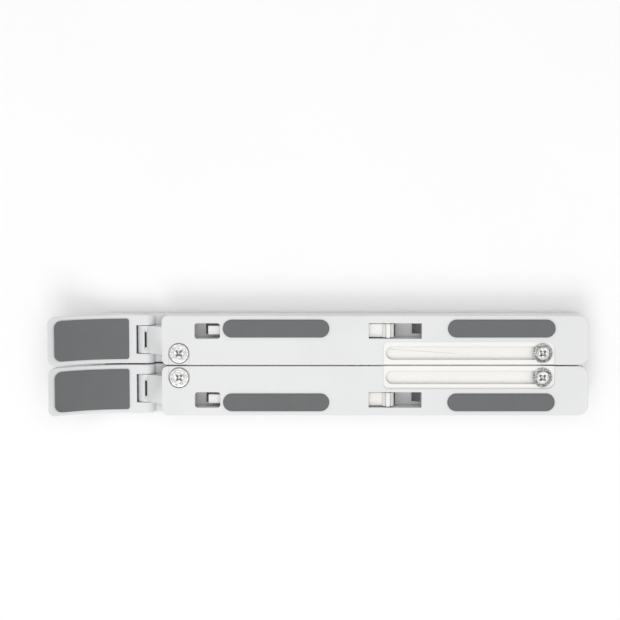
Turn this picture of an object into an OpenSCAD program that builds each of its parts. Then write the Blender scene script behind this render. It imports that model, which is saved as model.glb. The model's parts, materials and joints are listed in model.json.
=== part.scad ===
// Folding laptop stand: two mirrored arms on base rails, joined by a scissor of two bars.
// +X runs from the hooks to the rear, the left half is on +Y, and the stand rests on z = 0.

/* [Arms] */
// Length of the folded stand, from the tips of the hooks to the rear ends of the arms
stand_length = 242; // [235:1:300]
// Width of one arm
arm_width = 22.3; // [22:0.1:30]
// Gap between the two arms when the stand is folded
seam_gap = 0.6; // [0.2:0.1:1]
// Thickness of an arm's top plate
arm_plate = 2.6; // [2.4:0.1:3.6]
// Thickness of an arm's side and end walls
arm_wall = 2; // [1.4:0.1:3]
// Radius of the rounded rear corners of an arm
arm_rear_radius = 4.6; // [1:0.1:6]
// Radius of the rounded front corners of an arm
arm_front_radius = 2.8; // [1:0.1:4]
// Distance of the hinge of the arm from the tip of the hook
hook_reach = 42.4; // [38:0.1:50]

/* [Arm hinge] */
// Height of the hinge axis above the table
hinge_height = 8.4; // [8.3:0.1:9]
// Radius of the hinge knuckle and of the ears beside it
knuckle_radius = 3.9; // [3.4:0.1:4.2]
// Radius of the steel hinge pin
hinge_pin_radius = 1.5; // [1:0.1:2]
// Width of the knuckle, along the pin
knuckle_width = 12.45; // [8:0.05:14]
// Distance of the knuckle's middle from the arm's outer face
knuckle_inset = 11.5; // [11:0.1:12]

/* [Scissor bars] */
// Width of a bar at its ends, which is also the diameter of its round ends
bar_width = 10.4; // [8.4:0.1:10.8]
// Width of a bar at its middle
bar_waist = 16; // [12:0.5:18]
// Thickness of a bar
bar_plate = 3.5; // [3:0.1:4.2]
// Distance of the front pivot from the arm's hinge
pivot_front_reach = 15.4; // [14:0.1:30]
// Distance of the rear pivot from the rear end of the arm
pivot_rear_inset = 20.7; // [16:0.1:30]
// Travel of the rear pivot along its slot
slot_travel = 67.5; // [30:0.5:72]
// Width of the slot
slot_width = 6; // [5:0.1:7]
// Radius of the pivot screws' shanks
screw_radius = 1.5; // [1:0.1:1.6]
// Radius of the heads of the front pivot screws
pivot_head_radius = 4.3; // [3:0.1:4.6]

/* [Struts] */
// Distance of the strut's pivot from the arm's hinge
strut_pivot_reach = 109.4; // [100:0.1:125]
// Length of a strut from its pivot to its shoulders
strut_length = 74.5; // [66:0.1:84]
// Width of a strut
strut_width = 6; // [5:0.1:6.2]
// Thickness of a strut
strut_thickness = 4; // [3:0.1:4.4]
// Width of the tongue at the foot of a strut
tongue_width = 4; // [3:0.1:4.4]
// Length of the tongue
tongue_length = 6.5; // [4:0.1:8]
// Thickness of the tongue
tongue_thickness = 2.4; // [1.6:0.1:3]
// Distance of the strut's middle from the outer face of the arm
strut_inset = 7; // [6.8:0.1:7.2]

/* [Base rails] */
// Thickness of the rail's top plate
rail_plate = 2; // [1.6:0.1:3]
// Height of the rail's top above the table
rail_top = 7.8; // [7:0.1:7.8]
// Thickness of the rail's walls
rail_wall = 1.6; // [1.2:0.1:2]
// Number of holes for the strut's tongue
hole_count = 4; // [1:1:4]
// Spacing of those holes
hole_pitch = 17.4; // [12:0.1:18]
// Distance of the first hole from the arm's hinge
hole_reach = 123.8; // [122:0.1:128]
// Length of a hole, along the rail
hole_length = 6.4; // [5.4:0.1:8]
// Radius of the curve of the hook's upper face
hook_radius = 52.5; // [48:0.5:80]
// Thickness of the hook
hook_plate = 3.2; // [2.4:0.1:4]

/* [Pads] */
// Width of the pads on the arms
pad_width = 7.9; // [5:0.1:9]
// Distance of those pads' middle from the outer face of the arm
pad_inset = 5.9; // [5.5:0.1:6]
// Height of the pads above the surface around them
pad_height = 0.8; // [0.4:0.1:1.5]
// Depth of the recess that each pad lies in
pad_recess = 0.5; // [0.2:0.1:0.8]
// Length of the front pad on each arm
front_pad_length = 47.7; // [20:0.1:49]
// Length of the rear pad on each arm
rear_pad_length = 48.2; // [20:0.1:50]
// Width of the pad on each hook
hook_pad_width = 18.3; // [10:0.1:19.5]

/* [Hidden] */
$fn = 64;

plastic = "whitesmoke";
inner_plastic = "ivory";
silicone = "slategray";
steel = "silver";

// gaps between pieces that move past each other
gap = 0.3;
running = 0.05;
cut = 1;

// places along the stand
tip_x = -stand_length / 2;
arm_rear_x = stand_length / 2;
hinge_x = tip_x + hook_reach;
arm_front_x = hinge_x + knuckle_radius + 3.8;
pivot_front_x = hinge_x + pivot_front_reach;
pivot_rear_x = arm_rear_x - pivot_rear_inset;
slot_front_x = pivot_rear_x - slot_travel;
strut_pivot_x = hinge_x + strut_pivot_reach;
shoulder_x = strut_pivot_x - strut_length;
tongue_tip_x = shoulder_x - tongue_length;

// places across the stand, measured on the left half
seam_y = seam_gap / 2;
arm_outer_y = seam_y + arm_width;
base_inset = 0.3;
base_inner_y = seam_y + base_inset;
base_outer_y = arm_outer_y - base_inset;
base_y = (base_inner_y + base_outer_y) / 2;
pivot_y = seam_y + bar_width / 2;
strut_y = arm_outer_y - strut_inset;
pad_y = arm_outer_y - pad_inset;
knuckle_y = arm_outer_y - knuckle_inset;

// heights of the layers, from the table up
rail_bottom = pad_height;
lower_bar_z = rail_top + gap;
upper_bar_z = lower_bar_z + bar_plate + gap;
bars_top = upper_bar_z + bar_plate;
plate_bottom = bars_top + gap;
arm_top = plate_bottom + arm_plate;
strut_pivot_z = plate_bottom - 0.7;

// the strut's lane: open below in the arm, and cut through the rail's top plate
lane_half = strut_width / 2 + 0.5;
lane_front_x = tongue_tip_x - 5.9;
window_front = [lane_front_x, tongue_tip_x + 5.5];
window_rear = [strut_pivot_x - 8.7, strut_pivot_x + 15.1];
hub_radius = 2.75;
strut_pin_radius = 1.2;
strut_top = 0.4;
strut_slot_half = strut_width / 2 + 0.4;
strut_slot = [tongue_tip_x - 1.3, strut_pivot_x + strut_thickness - 0.4];
hole_width = tongue_width + 0.4;
foot_slot_half = tongue_width / 2 + 0.4;

// screws, bushes and nuts
counterbore_radius = pivot_head_radius + 0.45;
counterbore_depth = 1.4;
panel_depth = 1;
panel_x = [slot_front_x - 4.2, pivot_rear_x + 5.5];
panel_y = pivot_y + 5.1;
bush_radius = slot_width / 2 - 0.1;
bush_top = arm_top - panel_depth + 0.2;
washer_radius = 4.4;
washer_plate = 0.4;
slide_head_radius = 2.9;
slide_head = 0.9;
nut_radius = 3.15;
nut_height = 2.2;
centre_nut_radius = 4;
centre_screw_radius = 2;
centre_head_radius = 3.6;
centre_head = 1.6;
drive_depth = 0.8;

// the rest of the rail and the hook
pocket_gap = 0.3;
pocket_x = [hinge_x - knuckle_radius - 0.4, hinge_x + knuckle_radius + pocket_gap];
hook_edge_z = hinge_height + knuckle_radius;
hook_flat_x = pocket_x[0] - 2;
hook_centre_z = hook_edge_z + hook_radius;
root_x = hook_flat_x - 12.7;
rail_rear_x = arm_rear_x - 1;
front_block = [pocket_x[1], strut_slot[0] - 4];
rear_block = [rail_rear_x - 17, rail_rear_x];
foot_pad_width = 15;

bar_length = norm([pivot_rear_x - pivot_front_x, 2 * pivot_y]);
bar_angle = atan2(2 * pivot_y, pivot_rear_x - pivot_front_x);
centre_x = (pivot_front_x + pivot_rear_x) / 2;
build_up_x = centre_x + bar_waist;

// a half of the stand: side is 1 for the left and -1 for the right
module half(side) {
    mirror([0, side > 0 ? 0 : 1, 0]) children();
}

// a box from its lowest to its highest corner
module block(low, high) {
    translate(low) cube(high - low);
}

// what a fillet takes from a corner that points along sx and sy
module corner_waste(x, y, sx, sy, radius) {
    translate([x - sx * radius, y - sy * radius]) difference() {
        translate([sx > 0 ? 0 : -radius - cut, sy > 0 ? 0 : -radius - cut])
            square(radius + cut);
        circle(radius);
    }
}

// an outline with its own radius at the front and at the rear
module outline(x, y, front_radius, rear_radius) {
    difference() {
        translate([x[0], y[0]]) square([x[1] - x[0], y[1] - y[0]]);
        corner_waste(x[0], y[0], -1, -1, front_radius);
        corner_waste(x[0], y[1], -1, 1, front_radius);
        corner_waste(x[1], y[0], 1, -1, rear_radius);
        corner_waste(x[1], y[1], 1, 1, rear_radius);
    }
}

// a plate with that outline, between two heights
module slab(x, y, z, front_radius, rear_radius) {
    translate([0, 0, z[0]]) linear_extrude(z[1] - z[0])
        outline(x, y, front_radius, rear_radius);
}

// a cylinder along Y, from one y to the other
module cross_rod(x, y, z, radius) {
    translate([x, y[0], z]) rotate([-90, 0, 0]) cylinder(h = y[1] - y[0], r = radius);
}

// an upright cylinder between two heights
module post(x, y, z, radius) {
    translate([x, y, z[0]]) cylinder(h = z[1] - z[0], r = radius);
}

// a side profile in x and z, drawn out along Y
module profile(y) {
    translate([0, y[1], 0]) rotate([90, 0, 0]) linear_extrude(y[1] - y[0]) children();
}

// a pill-shaped slab: its ends are half circles
module pill(x, y_middle, width, z) {
    union() {
        block([x[0] + width / 2, y_middle - width / 2, z[0]],
            [x[1] - width / 2, y_middle + width / 2, z[1]]);
        post(x[0] + width / 2, y_middle, z, width / 2);
        post(x[1] - width / 2, y_middle, z, width / 2);
    }
}

// a cross-shaped driver recess, sunk from the top of a head
module cross_drive(x, y, top, size) {
    for (angle = [45, 135])
        translate([x, y, top - drive_depth]) rotate([0, 0, angle])
            translate([-size / 2, -size / 8, 0]) cube([size, size / 4, drive_depth + cut]);
}

// ---- base rail with the hook ----

// the hook's curved plate, between two radii about its centre of curvature
module hook_arc(inner, outer, y) {
    intersection() {
        translate([hook_flat_x, y[0], hook_centre_z]) rotate([-90, 0, 0]) difference() {
            cylinder(h = y[1] - y[0], r = outer, $fn = 128);
            translate([0, 0, -cut]) cylinder(h = y[1] - y[0] + 2 * cut, r = inner, $fn = 128);
        }
        block([tip_x - cut, y[0] - cut, 0], [hook_flat_x, y[1] + cut, hook_centre_z]);
    }
}

module hook() {
    rib_reach = 14;
    intersection() {
        union() {
            hook_arc(hook_radius, hook_radius + hook_plate, [base_inner_y, base_outer_y]);
            block([hook_flat_x - 0.01, base_inner_y, hook_edge_z - hook_plate],
                [pocket_x[0], base_outer_y, hook_edge_z]);
            block([root_x, base_inner_y, rail_bottom], [pocket_x[0], base_outer_y, hook_edge_z - 1.3]);
            for (y = [base_inner_y + 1.2, base_y - 0.8, base_outer_y - 2.8])
                profile([y, y + 1.6]) polygon([
                    [root_x + cut, rail_bottom + 2], [root_x + cut, hook_edge_z - 1],
                    [root_x - rib_reach, hook_edge_z + 4.8]]);
        }
        slab([tip_x, pocket_x[0] + cut], [base_inner_y, base_outer_y], [0, hook_centre_z], 3, 0.01);
    }
}

// one ear of the hinge, rising round the pin
module ear(y) {
    cross_rod(hinge_x, y, hinge_height, knuckle_radius);
    block([pocket_x[0] - cut, y[0], rail_bottom], [hinge_x + knuckle_radius, y[1], hinge_height]);
    block([pocket_x[0] - cut, y[0], hinge_height], [hinge_x, y[1], hook_edge_z]);
}

module rail() {
    hollow_top = rail_top - rail_plate;
    spine_y = strut_y - strut_slot_half - 1.2;
    hollow = [front_block[1], rear_block[0]];
    rib_count = 6;
    rib_pitch = (hollow[1] - hollow[0]) / rib_count;
    difference() {
        slab([pocket_x[1], rail_rear_x], [base_inner_y, base_outer_y], [rail_bottom, rail_top], 0.01, 4);
        difference() {
            block([hollow[0], base_inner_y + rail_wall, rail_bottom - cut],
                [hollow[1], base_outer_y - rail_wall, hollow_top]);
            block([hollow[0] - cut, spine_y, rail_bottom + 1], [hollow[1] + cut, spine_y + 1.2, rail_top]);
            for (i = [1:rib_count - 1])
                block([hollow[0] + i * rib_pitch, base_inner_y, rail_bottom + 2],
                    [hollow[0] + i * rib_pitch + 1.2, spine_y + 0.5, rail_top]);
        }
        block([shoulder_x - 0.2, strut_y - strut_slot_half, 0],
            [strut_slot[1], strut_y + strut_slot_half, rail_top + cut]);
        block([strut_slot[0], strut_y - foot_slot_half, 0],
            [shoulder_x, strut_y + foot_slot_half, rail_top + cut]);
        for (i = [0:hole_count - 1])
            translate([hinge_x + hole_reach + i * hole_pitch, strut_y, 0])
                translate([-hole_length / 2, -hole_width / 2, 0])
                    cube([hole_length, hole_width, rail_top + cut]);
    }
}

module base() {
    ears = [[base_inner_y, knuckle_y - knuckle_width / 2 - pocket_gap],
        [knuckle_y + knuckle_width / 2 + pocket_gap, base_outer_y]];
    color(plastic) difference() {
        union() {
            hook();
            rail();
            for (y = ears) {
                ear(y);
                block([hinge_x, y[0], rail_bottom], [pocket_x[1] + cut, y[1], rail_top]);
            }
        }
        cross_rod(hinge_x, [base_inner_y - cut, base_outer_y + cut], hinge_height, hinge_pin_radius);
    }
}

module hook_pad() {
    pad_x = [tip_x + 2.9, hook_flat_x - 1.2];
    pad_y0 = base_y - hook_pad_width / 2;
    color(silicone) intersection() {
        hook_arc(hook_radius - pad_height, hook_radius, [pad_y0, pad_y0 + hook_pad_width]);
        slab(pad_x, [pad_y0, pad_y0 + hook_pad_width], [0, hook_centre_z], 3, 1);
    }
}

module foot_pad(x) {
    y = [base_y - foot_pad_width / 2, base_y + foot_pad_width / 2];
    color(silicone) slab(x, y, [0, rail_bottom], 2, 2);
}

module foot_pad_front() {
    foot_pad([root_x + 1.5, pocket_x[0] - 1.5]);
}

module foot_pad_rear() {
    foot_pad([rear_block[0] + 2, rear_block[1] - 4]);
}

module hinge_pin() {
    y = [base_inner_y + 0.6, base_outer_y - 0.6];
    color(steel) cross_rod(hinge_x, y, hinge_height, hinge_pin_radius);
}

// ---- arm ----

module tongue_and_knuckle() {
    y = [knuckle_y - knuckle_width / 2, knuckle_y + knuckle_width / 2];
    slit = [0.9, 7];
    difference() {
        union() {
            cross_rod(hinge_x, y, hinge_height, knuckle_radius);
            profile(y) polygon([
                [hinge_x, rail_top + 0.4], [hinge_x, hinge_height + knuckle_radius],
                [hinge_x + 1.2, hinge_height + knuckle_radius], [arm_front_x, arm_top],
                [arm_front_x + cut, arm_top], [arm_front_x + cut, rail_top + 0.4]]);
        }
        cross_rod(hinge_x, [y[0] - cut, y[1] + cut], hinge_height, hinge_pin_radius + running);
        block([hinge_x - slit[0] / 2, knuckle_y - slit[1] / 2, hinge_height + hinge_pin_radius + 0.6],
            [hinge_x + slit[0] / 2, knuckle_y + slit[1] / 2, arm_top]);
    }
}

// everything that is taken out of the arm from below
module arm_hollows() {
    bay_y = pivot_y + bar_width / 2 + 0.35;
    lane_y = [strut_y - lane_half, strut_y + lane_half];
    rear_bay_x = [window_rear[1] + 2, arm_rear_x - arm_wall];
    rib_count = 3;
    bay_pitch = (rear_bay_x[1] - rear_bay_x[0]) / rib_count;
    block([arm_front_x + arm_wall, -cut, 0], [arm_rear_x - arm_wall, bay_y, plate_bottom]);
    block([lane_front_x, lane_y[0], 0], [window_rear[1], lane_y[1], plate_bottom]);
    for (i = [0:rib_count - 1])
        block([rear_bay_x[0] + i * bay_pitch, lane_y[0], 0],
            [rear_bay_x[0] + (i + 1) * bay_pitch - 1.2, arm_outer_y - arm_wall, plate_bottom]);
}

module arm() {
    lane_y = [strut_y - lane_half, strut_y + lane_half];
    panel_z = arm_top - panel_depth;
    color(plastic) difference() {
        union() {
            slab([arm_front_x, arm_rear_x], [seam_y, arm_outer_y], [lower_bar_z, arm_top],
                arm_front_radius, arm_rear_radius);
            tongue_and_knuckle();
        }
        arm_hollows();
        slab(window_front, lane_y, [0, arm_top + cut], 1.2, 1.2);
        slab(window_rear, lane_y, [0, arm_top + cut], 0.3, 0.3);
        cross_rod(strut_pivot_x, [0, arm_outer_y - arm_wall], strut_pivot_z, strut_pin_radius);
        pill(arm_front_pad_x(), pad_y, pad_width, [arm_top - pad_recess, arm_top + cut]);
        pill(arm_rear_pad_x(), pad_y, pad_width, [arm_top - pad_recess, arm_top + cut]);
        slab([panel_x[0], panel_x[1]], [-panel_y, panel_y], [panel_z, arm_top + cut], 2.2, 3.6);
        pill([slot_front_x - slot_width / 2, pivot_rear_x + slot_width / 2], pivot_y, slot_width,
            [0, arm_top + cut]);
        post(pivot_front_x, pivot_y, [arm_top - counterbore_depth, arm_top + cut], counterbore_radius);
        post(pivot_front_x, pivot_y, [0, arm_top], screw_radius + running);
        block([pivot_front_x - counterbore_radius, -cut, arm_top - 0.4],
            [pivot_front_x + counterbore_radius, pivot_y, arm_top + cut]);
    }
}

function arm_front_pad_x() = [window_front[1] + 1.3, window_front[1] + 1.3 + front_pad_length];
function arm_rear_pad_x() = [arm_rear_x - 15.2 - rear_pad_length, arm_rear_x - 15.2];

module arm_pad(x) {
    color(silicone) pill(x, pad_y, pad_width, [arm_top - pad_recess, arm_top + pad_height]);
}

// ---- strut ----

module strut() {
    z = [strut_pivot_z + strut_top - strut_thickness, strut_pivot_z + strut_top];
    tongue_z = (z[0] + z[1]) / 2;
    color(plastic) difference() {
        union() {
            cross_rod(strut_pivot_x, [strut_y - strut_width / 2, strut_y + strut_width / 2],
                strut_pivot_z, hub_radius);
            block([shoulder_x, strut_y - strut_width / 2, z[0]],
                [strut_pivot_x, strut_y + strut_width / 2, z[1]]);
            block([tongue_tip_x, strut_y - tongue_width / 2, tongue_z - tongue_thickness / 2],
                [shoulder_x + cut, strut_y + tongue_width / 2, tongue_z + tongue_thickness / 2]);
        }
        cross_rod(strut_pivot_x, [0, arm_outer_y], strut_pivot_z, strut_pin_radius + running);
    }
}

module strut_pin() {
    y = [strut_y - lane_half - 0.8, arm_outer_y - arm_wall - 0.1];
    color(steel) cross_rod(strut_pivot_x, y, strut_pivot_z, strut_pin_radius);
}

// ---- scissor bars ----

// a bar's outline along +X from its front pivot: folded, its outer edges run along the arms up to its waist
module bar_outline(extra) {
    taper = (bar_waist - bar_width) / 2 / tan(bar_angle);
    end = bar_width / 2 + extra;
    waist = bar_waist / 2 + extra;
    polygon([[0, -end], [taper, -waist], [bar_length - taper, -waist], [bar_length, -end],
        [bar_length, end], [bar_length - taper, waist], [taper, waist], [0, end]]);
}

module bar_body(z) {
    translate([0, 0, z]) linear_extrude(bar_plate) bar_outline(0);
    for (x = [0, bar_length])
        post(x, 0, [z, bars_top], bar_width / 2);
}

// the end screws' holes and the hexagonal pockets of their nuts
module bar_bores(z) {
    for (x = [0, bar_length]) {
        post(x, 0, [z - cut, bars_top + cut], screw_radius);
        translate([x, 0, z - cut])
            cylinder(h = nut_height + 0.05 + cut, r = nut_radius + running, $fn = 6);
    }
}

// puts a bar on its front pivot in the arm on one side, crossing to the other side
module lay_bar(side) {
    translate([pivot_front_x, side * pivot_y, 0]) rotate([0, 0, -side * bar_angle]) children();
}

module bar_upper() {
    color(inner_plastic) lay_bar(1) difference() {
        bar_body(upper_bar_z);
        bar_bores(upper_bar_z);
        post(bar_length / 2, 0, [0, bars_top + cut], centre_screw_radius + running);
        post(bar_length / 2, 0, [bars_top - centre_head - 0.3, bars_top + cut], centre_head_radius + 0.3);
    }
}

// behind the crossing the lower bar rises beside the upper one, and its top lies as high
module build_up() {
    intersection() {
        translate([0, 0, lower_bar_z]) linear_extrude(bars_top - lower_bar_z) difference() {
            lay_bar(-1) bar_outline(0);
            lay_bar(1) bar_outline(gap);
        }
        block([build_up_x, 0, 0], [pivot_rear_x - bar_width / 3, arm_outer_y, bars_top + cut]);
    }
}

module bar_lower() {
    color(inner_plastic) difference() {
        union() {
            lay_bar(-1) bar_body(lower_bar_z);
            build_up();
        }
        lay_bar(-1) bar_bores(lower_bar_z);
        lay_bar(-1) post(bar_length / 2, 0, [0, bars_top], centre_screw_radius);
        lay_bar(-1) translate([bar_length / 2, 0, 0])
            cylinder(h = lower_bar_z + nut_height + 0.05, r = centre_nut_radius + running, $fn = 6);
    }
}

module centre_screw() {
    head_z = bars_top - centre_head - 0.1;
    color(steel) difference() {
        union() {
            post(centre_x, 0, [head_z, head_z + centre_head], centre_head_radius);
            post(centre_x, 0, [lower_bar_z + 0.3, head_z], centre_screw_radius);
        }
        cross_drive(centre_x, 0, head_z + centre_head, centre_head_radius);
    }
}

// the front screw of the bar whose front is on the left
module pivot_screw(bar_z) {
    head_z = arm_top - counterbore_depth + 0.2;
    head = 1.3;
    color(steel) difference() {
        union() {
            post(pivot_front_x, pivot_y, [head_z, head_z + head], pivot_head_radius);
            post(pivot_front_x, pivot_y, [bar_z + 0.3, head_z], screw_radius);
        }
        cross_drive(pivot_front_x, pivot_y, head_z + head, 4);
    }
}

module slide_bush() {
    color(inner_plastic) difference() {
        post(pivot_rear_x, pivot_y, [bars_top, bush_top], bush_radius);
        post(pivot_rear_x, pivot_y, [bars_top - cut, bush_top + cut], screw_radius);
    }
}

module slide_washer() {
    color(steel) difference() {
        post(pivot_rear_x, pivot_y, [bush_top, bush_top + washer_plate], washer_radius);
        post(pivot_rear_x, pivot_y, [bush_top - cut, bush_top + cut], screw_radius);
    }
}

module slide_screw(bar_z) {
    head_z = bush_top + washer_plate;
    color(steel) difference() {
        union() {
            post(pivot_rear_x, pivot_y, [head_z, head_z + slide_head], slide_head_radius);
            post(pivot_rear_x, pivot_y, [bar_z + 0.3, head_z], screw_radius);
        }
        cross_drive(pivot_rear_x, pivot_y, head_z + slide_head, 4);
    }
}

// a hexagonal nut lying in its pocket under a bar
module nut(x, z, radius, bore) {
    translate([x, 0, z]) difference() {
        cylinder(h = nut_height, r = radius, $fn = 6);
        translate([0, 0, -cut]) cylinder(h = nut_height + 2 * cut, r = bore);
    }
}

module nuts_upper() {
    color(steel) lay_bar(1)
        for (x = [0, bar_length])
            nut(x, upper_bar_z + 0.05, nut_radius, screw_radius);
}

module nuts_lower() {
    color(steel) lay_bar(-1) {
        for (x = [0, bar_length])
            nut(x, lower_bar_z + 0.05, nut_radius, screw_radius);
        nut(bar_length / 2, lower_bar_z + 0.05, centre_nut_radius, centre_screw_radius);
    }
}

half(1) base();  // base_left
half(-1) base();  // base_right
half(1) hook_pad();  // hook_pad_left
half(-1) hook_pad();  // hook_pad_right
half(1) foot_pad_front();  // foot_pad_front_left
half(-1) foot_pad_front();  // foot_pad_front_right
half(1) foot_pad_rear();  // foot_pad_rear_left
half(-1) foot_pad_rear();  // foot_pad_rear_right
half(1) hinge_pin();  // hinge_pin_left
half(-1) hinge_pin();  // hinge_pin_right
half(1) arm();  // arm_left
half(-1) arm();  // arm_right
half(1) arm_pad(arm_front_pad_x());  // arm_pad_front_left
half(-1) arm_pad(arm_front_pad_x());  // arm_pad_front_right
half(1) arm_pad(arm_rear_pad_x());  // arm_pad_rear_left
half(-1) arm_pad(arm_rear_pad_x());  // arm_pad_rear_right
half(1) strut();  // strut_left
half(-1) strut();  // strut_right
half(1) strut_pin();  // strut_pin_left
half(-1) strut_pin();  // strut_pin_right
bar_upper();
bar_lower();
centre_screw();
half(1) pivot_screw(upper_bar_z);  // pivot_screw_left
half(-1) pivot_screw(lower_bar_z);  // pivot_screw_right
half(1) slide_bush();  // slide_bush_left
half(-1) slide_bush();  // slide_bush_right
half(1) slide_washer();  // slide_washer_left
half(-1) slide_washer();  // slide_washer_right
half(1) slide_screw(lower_bar_z);  // slide_screw_left
half(-1) slide_screw(upper_bar_z);  // slide_screw_right
nuts_upper();
nuts_lower();
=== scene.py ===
import json
import math

import bmesh
import bpy
from mathutils import Matrix, Vector


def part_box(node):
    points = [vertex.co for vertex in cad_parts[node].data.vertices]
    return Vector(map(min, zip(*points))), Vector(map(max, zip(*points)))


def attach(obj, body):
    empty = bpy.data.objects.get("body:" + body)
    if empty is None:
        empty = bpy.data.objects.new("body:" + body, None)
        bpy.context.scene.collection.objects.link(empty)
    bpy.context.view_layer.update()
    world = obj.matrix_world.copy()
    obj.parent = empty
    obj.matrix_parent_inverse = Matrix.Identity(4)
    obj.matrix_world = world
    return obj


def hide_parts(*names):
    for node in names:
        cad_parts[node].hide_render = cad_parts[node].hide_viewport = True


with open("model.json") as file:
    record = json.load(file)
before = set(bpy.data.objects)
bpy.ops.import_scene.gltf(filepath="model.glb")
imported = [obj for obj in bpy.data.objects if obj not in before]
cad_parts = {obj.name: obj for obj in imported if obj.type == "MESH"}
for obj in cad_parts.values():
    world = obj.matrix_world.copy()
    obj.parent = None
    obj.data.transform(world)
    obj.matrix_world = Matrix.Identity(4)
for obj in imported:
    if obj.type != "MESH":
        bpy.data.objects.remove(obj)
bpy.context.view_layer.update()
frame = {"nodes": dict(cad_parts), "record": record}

MM = 0.001
SIDES = {"left": 1, "right": -1}


# ---- Base rails with the hooks ----
# Each base is one moulding in white ABS: a ribbed rail, the ears of the arm's hinge, and the hook in front.
# The tool is spark eroded, so the skin has a fine even grain, faint sinks over the ribs and a hint of flow in
# the colour.

class Signal:
    """One output socket, with the arithmetic of Math nodes."""

    def __init__(self, finish, socket):
        self.finish, self.socket = finish, socket

    def maths(self, operation, *values):
        return self.finish.node("ShaderNodeMath", {"operation": operation}, dict(enumerate([self, *values])))

    def __add__(self, other):
        return self.maths("ADD", other)

    def __mul__(self, other):
        return self.maths("MULTIPLY", other)

    def __sub__(self, other):
        return self.maths("SUBTRACT", other)

    def __rsub__(self, other):
        return self * -1.0 + other

    __radd__, __rmul__ = __add__, __mul__


class Finish:
    """A material and the nodes that make it, with the surface shader as its end."""

    def __init__(self, name):
        self.material = bpy.data.materials.new(name)
        self.material.use_nodes = True
        self.tree = self.material.node_tree
        self.tree.nodes.clear()
        self.place = self.node("ShaderNodeTexCoord", out="Object")

    def node(self, kind, settings=None, sockets=None, out=0):
        made = self.tree.nodes.new(kind)
        for name, value in (settings or {}).items():
            setattr(made, name, value)
        for name, value in (sockets or {}).items():
            if isinstance(value, Signal):
                self.tree.links.new(value.socket, made.inputs[name])
            else:
                made.inputs[name].default_value = value
        return Signal(self, made.outputs[out]) if len(made.outputs) else made

    def noise(self, grain_mm, detail=2.0, place=None):
        """A noise from 0 to 1 whose features are about grain_mm across."""
        return self.node("ShaderNodeTexNoise", sockets={
            "Vector": place or self.place, "Scale": 1 / (grain_mm * MM), "Detail": detail})

    def stretched(self, x, y, z):
        """The place, with each axis scaled, for a pattern that runs one way."""
        return self.node("ShaderNodeMapping", sockets={"Vector": self.place, "Scale": (x, y, z)})

    def axes(self):
        """The place along X, across Y from the seam, and the height, in metres."""
        split = self.node("ShaderNodeSeparateXYZ", sockets={"Vector": self.place}, out="X")
        outputs = split.socket.node.outputs
        return split, Signal(self, outputs["Y"]).maths("ABSOLUTE"), Signal(self, outputs["Z"])

    def mask(self, signal, low, high):
        """0 below low, 1 above high, smooth between."""
        return self.node("ShaderNodeMapRange", {"interpolation_type": "SMOOTHSTEP"},
                         {"Value": signal, "From Min": low, "From Max": high})

    def band(self, signal, low_mm, high_mm, soft_mm):
        """1 from low to high, falling to 0 over soft on either side."""
        low, high, soft = low_mm * MM, high_mm * MM, soft_mm * MM
        return self.mask(signal, low - soft, low) * (1.0 - self.mask(signal, high, high + soft))

    def tint(self, factor, first, second):
        """A colour that goes from first to second as factor goes from 0 to 1."""
        return self.node("ShaderNodeMix", {"data_type": "RGBA"}, {
            0: factor, 6: first if isinstance(first, Signal) else (*first, 1),
            7: second if isinstance(second, Signal) else (*second, 1)}, out=2)

    def bump(self, height, depth_mm, under=None):
        sockets = {"Height": height, "Distance": depth_mm * MM, "Strength": 1.0}
        if under:
            sockets["Normal"] = under
        return self.node("ShaderNodeBump", sockets=sockets)

    def surface(self, **sockets):
        shader = self.node("ShaderNodeBsdfPrincipled", sockets={
            name.replace("_", " "): value for name, value in sockets.items()})
        self.node("ShaderNodeOutputMaterial", sockets={"Surface": shader})
        return self.material


ABS_IOR = 1.5
WHITE = (0.745, 0.748, 0.752)
WHITE_SHADE = (0.72, 0.723, 0.73)
WARM = (0.845, 0.84, 0.82)
WARM_SHADE = (0.82, 0.81, 0.785)


def moulded_plastic(name, colour, shade, roughness, polish_and_painted_light=None):
    """Grained plastic. Where the given mask says so, the skin is smooth and glossier, and painted a brighter,
    warmer white as painted light.
    """
    finish = Finish(name)
    grain = finish.noise(0.22, detail=3.0)
    flow = finish.noise(34.0)
    scuff = finish.mask(finish.noise(1.5, detail=5.0), 0.64, 0.78)
    lengthwise = finish.stretched(0.10, 1.6, 1.6)
    hairline = finish.mask(finish.noise(1.0, detail=3.0, place=lengthwise), 0.70, 0.76)
    skin = finish.tint(finish.mask(flow, 0.35, 0.65), colour, shade)
    rough_skin = 1.0
    if polish_and_painted_light:
        smooth = polish_and_painted_light(finish)
        # painted light: the track is tinted to the brighter, warmer white
        skin = finish.tint(smooth, skin, WARM)
        rough_skin = 1.0 - 0.8 * smooth
    worn = finish.tint(scuff * 0.30 + hairline * 0.25, skin, tuple(c * 0.90 for c in colour))
    gloss = roughness - 0.10 + rough_skin * 0.10 + 0.10 * (flow - 0.5) + 0.08 * grain + 0.06 * scuff
    sink = finish.bump(finish.noise(13.0, detail=1.0), 0.06)
    return finish.surface(Base_Color=worn, Roughness=gloss, IOR=ABS_IOR,
                          Normal=finish.bump(grain * rough_skin, 0.014, under=sink))


white_plastic = moulded_plastic("white_plastic", WHITE, WHITE_SHADE, 0.38)


def box_mm(node):
    """The lowest and highest corners of a CAD node at rest, in millimetres."""
    return tuple(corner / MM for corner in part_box(node))


def merged_copy(node):
    """The CAD node's shape as a clean bmesh: welded, with its flat faces joined."""
    bm = bmesh.new()
    bm.from_mesh(frame["nodes"][node].data)
    bmesh.ops.remove_doubles(bm, verts=bm.verts, dist=0.002 * MM)
    bmesh.ops.dissolve_limit(bm, angle_limit=math.radians(0.6), verts=bm.verts, edges=bm.edges)
    return bm


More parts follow.
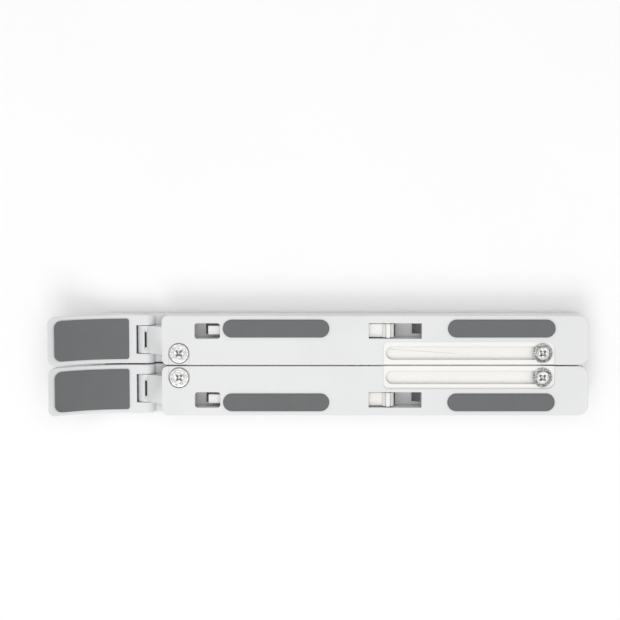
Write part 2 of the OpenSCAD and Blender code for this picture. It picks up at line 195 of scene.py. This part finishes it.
def corners(bm, wanted=lambda p: True, least=50):
    """The outward corners that wanted picks, by the middle of the edge in millimetres."""
    found = []
    for edge in bm.edges:
        if len(edge.link_faces) == 2 and edge.calc_face_angle_signed() > math.radians(least):
            if wanted((edge.verts[0].co + edge.verts[1].co) / 2 / MM):
                found.append(edge)
    return found


def round_off(bm, edges, radius_mm, steps=2):
    """Rounds those edges as a mould or a tumbling drum leaves them."""
    bmesh.ops.bevel(bm, geom=edges, offset=radius_mm * MM, offset_type="OFFSET", affect="EDGES",
                    segments=steps, profile=0.5, material=-1, clamp_overlap=False)


def finished(bm, name, body, material, replaced, crease=38, more=()):
    """Makes the mesh a piece that rides on a body, smooth except at its creases. Faces may use the further
    materials by their index, from 1."""
    mesh = bpy.data.meshes.new(name)
    bm.to_mesh(mesh)
    bm.free()
    for layer in (material, *more):
        mesh.materials.append(layer)
    piece = bpy.data.objects.new(name, mesh)
    bpy.context.scene.collection.objects.link(piece)
    mesh.shade_smooth()
    mesh.set_sharp_from_angle(angle=math.radians(crease))
    flat = piece.modifiers.new("flat_faces", "WEIGHTED_NORMAL")
    flat.keep_sharp = True
    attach(piece, body)
    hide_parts(replaced)


hook_edge, rail_edge, hole_edge = 0.7, 0.35, 0.15
hook_length, hook_foot = 26, 12.5
seam_fit = 0.25      # the mouldings come this much closer at the seam
rail_top = 7.8
near = 0.05

for side, sign in SIDES.items():
    low, high = box_mm(f"base_{side}")
    outer, inner = max(abs(low.y), abs(high.y)), min(abs(low.y), abs(high.y))
    root = low.x + hook_length
    base = merged_copy(f"base_{side}")
    for vert in base.verts:
        if abs(abs(vert.co.y) / MM - inner) < 0.01:
            vert.co.y -= sign * seam_fit * MM

    def hook_rim(p):
        return p.x < root and p.z > hook_foot

    def rail_side(p):
        return p.z > rail_top - 0.8 and min(abs(abs(p.y) - outer), abs(abs(p.y) - inner + seam_fit)) < near

    def hole_rim(p):
        return p.x > root and abs(p.z - rail_top) < 0.1

    round_off(base, corners(base, hook_rim), hook_edge, steps=3)
    round_off(base, corners(base, rail_side), rail_edge)
    round_off(base, corners(base, hole_rim), hole_edge)
    finished(base, f"base_{side}_moulding", f"base_{side}", white_plastic,
             f"base_{side}")


# ---- Arms ----
# Each arm is a moulded channel of the same ABS, open below and towards the seam, with a knuckle at its front
# and windows over the strut. The sunk track round the slot is polished in the tool, so that the screw's
# washer slides on it; its brighter, warmer white is painted light, as if the track were lit more strongly.

arm_high = box_mm("arm_left")[1]
arm_top = arm_high.z
bush_high = box_mm("slide_bush_left")[1]
track_x = (28.4, bush_high.x + 3.0)
track_y = bush_high.y + 2.2


# The track's mask also paints it a brighter, warmer white as painted light.
def track_smooth_and_painted_light(finish):
    along, across, up = finish.axes()
    return (finish.band(along, track_x[0], track_x[1], 0.1) * finish.band(across, -1, track_y, 0.1)
            * finish.band(up, arm_top - 4, arm_top - 0.8, 0.1))


def painted_slit_shade(name):
    """Painted shade: a dark film on the faces of the deep slit over the hinge pin, standing in for the shade in
    it.
    """
    finish = Finish(name)
    slit_shade_mottle = finish.noise(0.6, detail=3.0)
    return finish.surface(Base_Color=finish.tint(slit_shade_mottle, (0.05, 0.05, 0.05), (0.12, 0.12, 0.12)),
                          Roughness=0.35 + 0.2 * slit_shade_mottle, Normal=finish.bump(slit_shade_mottle, 0.03))


arm_plastic = moulded_plastic("arm_plastic", WHITE, WHITE_SHADE, 0.36, polish_and_painted_light=track_smooth_and_painted_light)
hinge_slit_painted_shade = painted_slit_shade("hinge_slit_painted_shade")
pin_low, pin_high = box_mm("hinge_pin_left")
hinge_x = (pin_low.x + pin_high.x) / 2
knuckle_y = arm_high.y - 11.5
slit_half, slit_z = (0.5, 3.6), (10.2, 12.0)
rim_edge, window_edge, foot_edge = 0.45, 0.15, 0.3
front_x, front_corner_x, rear_corner_x = -71.2, -67, arm_high.x - 6.3
arm_foot = 8.3


def arm_rim(p):
    """The edge round the arm's top, except the front of the knuckle."""
    at_rear = p.x > rear_corner_x
    inset = 2.9 if at_rear or p.x < front_corner_x else 1.7
    beside_rim = p.x > front_x and p.z > arm_top - rim_edge and abs(p.y) > arm_high.y - inset
    return beside_rim or at_rear and p.z > arm_top - 0.1


def in_slit(p):
    return (abs(p.x - hinge_x) < slit_half[0] and abs(abs(p.y) - knuckle_y) < slit_half[1]
            and slit_z[0] < p.z < slit_z[1])


for side in SIDES:
    arm = merged_copy(f"arm_{side}")
    round_off(arm, corners(arm, arm_rim), rim_edge, steps=3)
    round_off(arm, corners(arm, lambda p: p.z > arm_top - 1.2, least=70), window_edge)
    round_off(arm, corners(arm, lambda p: p.z < arm_foot and abs(p.y) > arm_high.y - 0.1, least=70), foot_edge)
    # painted shade: the faces of the deep slit over the pin get the dark second material
    for face in arm.faces:
        if in_slit(face.calc_center_median() / MM):
            face.material_index = 1
    finished(arm, f"arm_{side}_moulding", f"arm_{side}", arm_plastic, f"arm_{side}",
             more=[hinge_slit_painted_shade])


# ---- Silicone pads ----
# Grey silicone strips lie in shallow recesses of the arms, on the hooks and under the rails, held by adhesive.
# They are moulded matt with a soft edge, and pick up a little dust.

SILICONE_IOR = 1.42


def silicone_rubber(name):
    finish = Finish(name)
    grain = finish.noise(0.18, detail=2.0)
    cloud = finish.noise(8.0, detail=3.0)
    dust = finish.mask(finish.noise(0.5, detail=4.0), 0.68, 0.80)
    grey = finish.tint(cloud, (0.126, 0.131, 0.133), (0.148, 0.153, 0.155))
    dusty = finish.tint(dust * 0.30, grey, (0.30, 0.30, 0.30))
    return finish.surface(Base_Color=dusty, Roughness=0.60 + 0.14 * grain + 0.06 * cloud,
                          Normal=finish.bump(grain, 0.016), IOR=SILICONE_IOR)


grey_silicone = silicone_rubber("grey_silicone")
pad_edge = 0.28

for side in SIDES:
    for spot, body in (("hook_pad", "base"), ("foot_pad_front", "base"), ("foot_pad_rear", "base"),
                       ("arm_pad_front", "arm"), ("arm_pad_rear", "arm")):
        node = f"{spot}_{side}"
        pad = merged_copy(node)
        round_off(pad, corners(pad, least=60), pad_edge, steps=3)
        finished(pad, f"{node}_silicone", f"{body}_{side}", grey_silicone, node)


# ---- Struts ----
# Each strut is a flat moulding in a warmer white ABS, with a tongue at its foot and a hub that turns on a pin
# pressed in the arm. Two grooves over the hub leave a raised barrel, where a fingernail lifts it.

def block(low, high):
    """A box between two corners in millimetres."""
    bm = bmesh.new()
    middle, size = (Vector(low) + Vector(high)) / 2, Vector(high) - Vector(low)
    bmesh.ops.create_cube(bm, size=1, matrix=Matrix.LocRotScale(middle * MM, None, size * MM))
    return bm


def carved(bm, cutter):
    """The shape with the cutter's volume taken out. It uses up both."""
    pair = []
    for shape in (bm, cutter):
        mesh = bpy.data.meshes.new("carving")
        shape.to_mesh(mesh)
        shape.free()
        pair.append(bpy.data.objects.new("carving", mesh))
        bpy.context.scene.collection.objects.link(pair[-1])
    cut = pair[0].modifiers.new("cut", "BOOLEAN")
    cut.operation, cut.solver, cut.object = "DIFFERENCE", "EXACT", pair[1]
    result = bmesh.new()
    result.from_object(pair[0], bpy.context.evaluated_depsgraph_get())
    for shape in pair:
        bpy.data.objects.remove(shape)
    return result


strut_plastic = moulded_plastic("strut_plastic", WARM, WARM_SHADE, 0.38)
hub_radius, strut_edge = 2.75, 0.3
groove_half, groove_depth = 0.24, 1.3

for side in SIDES:
    low, high = box_mm(f"strut_{side}")
    pivot = high.x - hub_radius
    strut = merged_copy(f"strut_{side}")
    for groove in (pivot - 1.15, pivot + 1.2):
        strut = carved(strut, block((groove - groove_half, low.y - 1, high.z - groove_depth),
                                    (groove + groove_half, high.y + 1, high.z + 1)))
    bmesh.ops.dissolve_limit(strut, angle_limit=math.radians(0.6), verts=strut.verts, edges=strut.edges)
    round_off(strut, corners(strut, lambda p: p.x < pivot - 3.2, least=70), strut_edge)
    finished(strut, f"strut_{side}_moulding", f"strut_{side}", strut_plastic,
             f"strut_{side}")


# ---- Scissor bars ----
# The two bars that cross between the halves are moulded in the warmer white, with a boss at each end over the
# nut. The screws through the bosses hold them up against the arms.

warm_plastic = moulded_plastic("warm_plastic", WARM, WARM_SHADE, 0.34)

centre_low, centre_high = box_mm("centre_screw")
crossing = (centre_low.x + centre_high.x) / 2
raised_from = crossing + 5
bar_fit, forward, flare = 0.28, 4.4, 0.3
bar_edge = 0.12


def close_up(bar):
    """Brings the part that is raised behind the crossing close to the upper bar, and forward under the slot."""
    plate_top = box_mm("bar_upper")[0].z
    walls = [face for face in bar.faces if face.calc_center_median().z / MM > plate_top
             and face.calc_center_median().x / MM > raised_from and abs(face.normal.z) < 0.1]
    beside = {vert for face in walls if face.normal.y < -0.95 for vert in face.verts}
    ahead = {vert for face in walls if face.normal.x < -0.99 for vert in face.verts}
    for vert in beside:
        vert.co.y -= bar_fit * MM
    for vert in ahead:
        vert.co += Vector((-forward, flare if vert in beside else -flare, 0)) * MM


def off_the_joint(name, p):
    """Whether an edge lies away from where the raised part and the upper bar meet, which stays sharp."""
    return p.x < raised_from or name == "bar_upper" and p.y < -4


for name in ("bar_upper", "bar_lower"):
    bar = merged_copy(name)
    if name == "bar_lower":
        close_up(bar)
    round_off(bar, corners(bar, lambda p: off_the_joint(name, p), least=60), bar_edge)
    finished(bar, f"{name}_moulding", name, warm_plastic, name)

for side, body in (("left", "bar_lower"), ("right", "bar_upper")):
    bush = merged_copy(f"slide_bush_{side}")
    round_off(bush, corners(bush, least=60), bar_edge)
    finished(bush, f"slide_bush_{side}_ring", body, warm_plastic, f"slide_bush_{side}")


# ---- Screws, washers, nuts and pins ----
# The screws are turned steel, bright zinc plated, with a cross recess struck in the head. The rear ones hold a
# serrated washer that runs on the track, and all four bite in hexagonal nuts under the bars.

def zinc_plate(name, dark, speckle):
    """Bright zinc on turned steel: clouds of passivation, fine tool marks, and specks where it is struck. With
    a near black dark tone and dense specks it paints the shade in a recess.
    """
    finish = Finish(name)
    cloud = finish.mask(finish.noise(1.1, detail=4.0), 0.35, 0.65)
    fine = finish.noise(0.28, detail=3.0)
    plated = finish.tint(cloud, (0.72, 0.72, 0.71), (0.50, 0.505, 0.50))
    specks = finish.mask(finish.noise(0.45, detail=2.0), 0.44, 0.60)
    tone = finish.tint(specks * speckle, plated, (dark, dark, dark * 0.97))
    return finish.surface(Base_Color=tone, Metallic=1.0, Roughness=0.22 + 0.16 * cloud + 0.12 * fine,
                          Normal=finish.bump(fine, 0.004 + 0.03 * speckle))


bright_steel = zinc_plate("bright_steel", 0.30, 0.15)
speckled_steel = zinc_plate("speckled_steel", 0.13, 0.85)
# painted shade: a near black, densely specked steel that darkens the cross recesses
recess_painted_shade_steel = zinc_plate("recess_painted_shade_steel", 0.05, 0.8)


def turned(profile_mm, centre, around=96):
    """A closed shape turned about an upright axis through centre, from radius and height pairs."""
    bm = bmesh.new()
    points = [bm.verts.new(Vector((radius, 0, height)) * MM) for radius, height in profile_mm]
    line = [bm.edges.new(pair) for pair in zip(points, points[1:])]
    bmesh.ops.spin(bm, geom=points + line, cent=(0, 0, 0), axis=(0, 0, 1), angle=math.tau, steps=around,
                   use_merge=True)
    bmesh.ops.remove_doubles(bm, verts=bm.verts, dist=0.001 * MM)
    bmesh.ops.recalc_face_normals(bm, faces=bm.faces)
    bmesh.ops.translate(bm, verts=bm.verts, vec=(centre.x, centre.y, 0))
    return bm


def cross_recess(bm, centre, radius_mm, depth_mm, top):
    """Strikes a cross recess, on the diagonals, in the top of a head, and gives it the second material, a
    darker steel that paints the recess's shade.
    """
    flute, slope = 0.55, 0.14
    for vert in bm.verts:
        x, y = (vert.co.x - centre.x) / MM, (vert.co.y - centre.y) / MM
        across, along = sorted((abs(x + y) / math.sqrt(2), abs(x - y) / math.sqrt(2)))
        if vert.co.z / MM > top - 0.25 and along < radius_mm:
            wall = min(1.0, max(0.0, (flute * (1.15 - 0.35 * along / radius_mm) - across) / slope))
            vert.co.z -= wall * depth_mm * min(1.0, 1.6 * (1 - along / radius_mm)) * MM
    for face in bm.faces:
        middle = face.calc_center_median()
        if math.hypot(middle.x - centre.x, middle.y - centre.y) < radius_mm * MM and (
                top - 1.2 < middle.z / MM < top - 0.22):
            face.material_index = 1


shank_r = 1.5
recess_depth = 1.0
recess_rings = 16


def screw(node, body, rings, recess):
    """A screw with rings round its head, as big as the node's box."""
    low, high = box_mm(node)
    centre = (low + high) / 2 * MM
    head_r = (high.x - low.x) / 2
    under = high.z - rings["thickness"]
    fine = [(recess * i / recess_rings, high.z - 0.08) for i in range(recess_rings + 1)]
    profile = fine + [(r, high.z - sunk) for r, sunk in rings["steps"]]
    profile += [(head_r - 0.22, high.z - 0.02), (head_r - 0.07, high.z - 0.09), (head_r, high.z - 0.28),
                (head_r, under + 0.15), (head_r - 0.15, under), (shank_r, under), (shank_r, low.z + 0.3),
                (shank_r - 0.3, low.z), (0, low.z)]
    bm = turned(profile, centre)
    cross_recess(bm, centre, recess * 0.95, recess_depth, high.z)
    finished(bm, f"{node}_turned", body, bright_steel, node, crease=30,
             more=[recess_painted_shade_steel])


# each step is a radius and how far it is sunk below the top
broad_head = {"thickness": 1.3, "steps": [
    (2.20, 0.06), (2.32, 0.34), (2.60, 0.34), (2.74, 0.05),
    (3.16, 0.03), (3.26, 0.24), (3.46, 0.24), (3.58, 0.03)]}
small_head = {"thickness": 0.9, "steps": [(2.12, 0.06), (2.22, 0.28), (2.40, 0.28), (2.50, 0.05)]}
teeth, tooth_rise, tooth_drop = 36, 0.06, 0.30

for side, body in (("left", "bar_upper"), ("right", "bar_lower")):
    screw(f"pivot_screw_{side}", body, broad_head, 2.1)

for side, body in (("left", "bar_lower"), ("right", "bar_upper")):
    screw(f"slide_screw_{side}", body, small_head, 2.0)
    low, high = box_mm(f"slide_washer_{side}")
    centre = (low + high) / 2 * MM
    rim = (high.x - low.x) / 2
    washer = turned([(shank_r, low.z), (shank_r, high.z), (2.95, high.z), (3.15, high.z - 0.06),
                     (4.05, high.z - 0.06), (4.15, high.z - 0.02), (rim - 0.08, high.z - 0.02),
                     (rim, high.z - 0.12), (rim, low.z), (shank_r, low.z)], centre, around=144)
    for vert in washer.verts:
        x, y = vert.co.x - centre.x, vert.co.y - centre.y
        if 3.1 < math.hypot(x, y) / MM < 4.1 and vert.co.z / MM > high.z - 0.1:
            tooth = math.atan2(y, x) / math.tau * teeth % 1.0
            vert.co.z += (tooth_rise - tooth_drop * tooth) * MM
    finished(washer, f"slide_washer_{side}_serrated", body, speckled_steel,
             f"slide_washer_{side}", crease=25)

steel_edge = 0.12

for node in ("hinge_pin_left", "hinge_pin_right", "strut_pin_left", "strut_pin_right", "centre_screw",
             "nuts_upper", "nuts_lower"):
    body = next(name for name, nodes in frame["record"]["behaviour"]["bodies"].items() if node in nodes)
    steel = merged_copy(node)
    round_off(steel, corners(steel, least=55), steel_edge)
    finished(steel, f"{node}_steel", body, bright_steel, node)


# ---- Table, light and camera ----
# The stand lies on a plain pale table, painted matt. Two soft lamps and an even white surround light it,
# and the camera looks from almost straight above.

floor_mesh = bmesh.new()
bmesh.ops.create_grid(floor_mesh, x_segments=1, y_segments=1, size=4.0)
table_top = bpy.data.meshes.new("table_top")
floor_mesh.to_mesh(table_top)
floor_mesh.free()
floor = bpy.data.objects.new("table_top", table_top)
bpy.context.scene.collection.objects.link(floor)
paper = Finish("pale_table")
table_top.materials.append(paper.surface(
    Base_Color=paper.tint(paper.noise(60.0), (0.92, 0.92, 0.92), (0.94, 0.94, 0.94)), Roughness=0.85))

world = bpy.data.worlds.new("studio")
world.use_nodes = True
world.node_tree.nodes["Background"].inputs["Color"].default_value = (1, 1, 1, 1)
world.node_tree.nodes["Background"].inputs["Strength"].default_value = 0.67
bpy.context.scene.world = world
bpy.context.scene.view_settings.view_transform = "Standard"


def soft_lamp(name, place, size, power):
    """A square lamp that shines at the stand."""
    lamp = bpy.data.lights.new(name, "AREA")
    lamp.shape, lamp.size, lamp.energy = "SQUARE", size, power
    lit = bpy.data.objects.new(name, lamp)
    lit.location = place
    lit.rotation_euler = (-Vector(place)).to_track_quat("-Z", "Y").to_euler()
    bpy.context.scene.collection.objects.link(lit)


soft_lamp("overhead", (0, 0, 1.9), 2.2, 12.5)
soft_lamp("key", (-0.1, -0.75, 1.2), 0.7, 4.2)

eye, aim = Vector((-4.3, 98.0, 788.0)) * MM, Vector((-4.3, 25.1, 18.3)) * MM
camera = bpy.data.cameras.new("camera")
camera.lens, camera.sensor_width = 100.2, 36
camera.clip_start, camera.clip_end = 0.01, 20
viewer = bpy.data.objects.new("camera", camera)
viewer.location = eye
viewer.rotation_euler = (-math.atan2(eye.y - aim.y, eye.z - aim.z), 0, 0)
bpy.context.scene.collection.objects.link(viewer)
bpy.context.scene.camera = viewer
